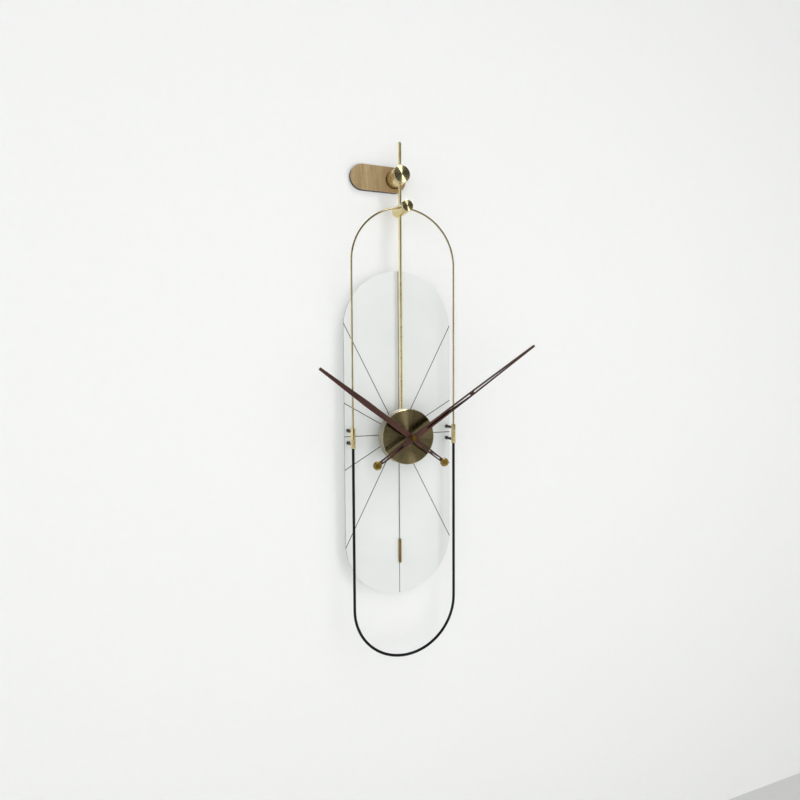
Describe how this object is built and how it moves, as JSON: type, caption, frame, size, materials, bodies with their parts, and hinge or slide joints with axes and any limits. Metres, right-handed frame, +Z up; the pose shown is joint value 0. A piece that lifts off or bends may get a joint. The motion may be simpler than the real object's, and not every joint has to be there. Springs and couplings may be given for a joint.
{
  "type": "pendulum wall clock",
  "caption": "Wall clock hung on a brass rod: drum case with long walnut hands, tall ring frame carrying a translucent dial panel, and a slender pendulum behind the case.",
  "frame": {"origin": "on the wall face of the wall bracket, on the axis of the upper rod clamp", "axes": "+X to the right of a viewer who faces the clock, +Y into the wall, +Z up along the rod"},
  "size_m": [0.5036, 0.1191, 1.1307],
  "materials": {
    "black_metal": "satin black paint",
    "pale_walnut": "matt lacquered walnut, grain upright",
    "dark_walnut": "satin lacquered dark walnut",
    "polished_brass": "polished",
    "turned_brass": "turned face, fine circular lines",
    "case_brass": "aged, circular brushed face",
    "aged_brass": "dark gold, turned",
    "black_rod": "glossy black glass-fibre rod",
    "acrylic": "pale translucent acrylic, smooth",
    "ink": "matt black line",
    "grey_ink": "matt dark grey line",
    "movement_plastic": "moulded black plastic",
    "white_nylon": "moulded white nylon",
    "steel": "bright zinc-plated steel",
    "black_steel": "black oxide steel",
    "battery_sleeve": "plain printed sleeve with no text",
    "copper_wire": "enamelled copper winding",
    "board": "green solder mask"
  },
  "bodies": {
    "wall_mount": {"wall_bracket": "black_metal", "walnut_cover": "pale_walnut", "cover_magnets": "steel", "cover_discs": "steel", "rod_clamp_boss": "polished_brass", "boss_screws": "steel"},
    "rod_knob": {"rod_clamp_knob": "turned_brass", "rod_clamp_stud": "steel"},
    "rod_and_case": {"hanging_rod": "polished_brass", "rod_socket": "case_brass", "socket_grub_screws": "black_steel", "socket_screws": "steel", "case_cup": "case_brass", "case_back_cover": "case_brass", "case_screws": "steel", "movement_housing": "movement_plastic", "movement_lid": "movement_plastic", "movement_bush": "aged_brass", "bush_nut": "steel", "idler_pin": "steel", "circuit_board": "board", "drive_coil": "copper_wire", "battery": "battery_sleeve", "battery_contacts": "steel", "pendulum_coil": "copper_wire", "pendulum_pin": "steel", "pin_clip": "steel"},
    "idler": {"idler_wheel": "white_nylon"},
    "setting": {"setting_arbor": "steel", "setting_knob": "movement_plastic"},
    "hour": {"hour_tube": "aged_brass", "hour_wheel": "white_nylon", "hour_hand": "dark_walnut", "hour_bush": "aged_brass", "hour_weight": "aged_brass"},
    "minute": {"minute_arbor": "steel", "minute_wheel": "white_nylon", "minute_pinion": "white_nylon", "minute_hand": "dark_walnut", "minute_bush": "aged_brass", "minute_weight": "aged_brass", "hub_cap": "aged_brass"},
    "pendulum": {"pendulum_hanger": "aged_brass", "pendulum_magnet": "steel", "pendulum_rod": "black_steel", "pendulum_bob": "aged_brass"},
    "frame": {"frame_clamp": "polished_brass", "clamp_grub_screw": "black_steel", "frame_arch": "polished_brass", "frame_bow": "black_rod", "left_sleeve": "polished_brass", "right_sleeve": "polished_brass", "standoffs": "movement_plastic", "standoff_screws": "steel", "dial_panel": "acrylic", "meridian_line": "grey_ink", "hour_lines": "ink"},
    "frame_knob": {"frame_clamp_knob": "turned_brass", "frame_clamp_stud": "steel"}
  },
  "joints": [
    {"name": "rod_knob_turn", "type": "hinge", "parent": "wall_mount", "child": "rod_knob", "pos_m": [0, -0.0535, 0], "axis": [0, -1, 0], "range_deg": [0, 720]},
    {"name": "rod_slide", "type": "slide", "parent": "wall_mount", "child": "rod_and_case", "axis": [0, 0, 1], "range_m": [-0.05, 0.02]},
    {"name": "idler_turn", "type": "hinge", "parent": "rod_and_case", "child": "idler", "pos_m": [0.012, -0.0752, -0.566], "axis": [0, 1, 0], "continuous": true},
    {"name": "setting_turn", "type": "hinge", "parent": "rod_and_case", "child": "setting", "pos_m": [-0.018, -0.0675, -0.566], "axis": [0, 1, 0], "continuous": true},
    {"name": "hour_turn", "type": "hinge", "parent": "rod_and_case", "child": "hour", "pos_m": [0, -0.105, -0.566], "axis": [0, 1, 0], "continuous": true},
    {"name": "minute_turn", "type": "hinge", "parent": "rod_and_case", "child": "minute", "pos_m": [0, -0.113, -0.566], "axis": [0, 1, 0], "continuous": true},
    {"name": "pendulum_swing", "type": "hinge", "parent": "rod_and_case", "child": "pendulum", "pos_m": [0, -0.0334, -0.572], "axis": [0, -1, 0], "range_deg": [-8, 8]},
    {"name": "frame_slide", "type": "slide", "parent": "rod_and_case", "child": "frame", "axis": [0, 0, 1], "range_m": [-0.4, 0.02]},
    {"name": "frame_knob_turn", "type": "hinge", "parent": "frame", "child": "frame_knob", "pos_m": [0, -0.0845, -0.075], "axis": [0, -1, 0], "range_deg": [0, 720]}
  ],
  "couplings": [
    {"joint": "hour_turn", "follows": "minute_turn", "ratio": 0.083333},
    {"joint": "idler_turn", "follows": "minute_turn", "ratio": -0.33333},
    {"joint": "setting_turn", "follows": "minute_turn", "ratio": -2}
  ]
}
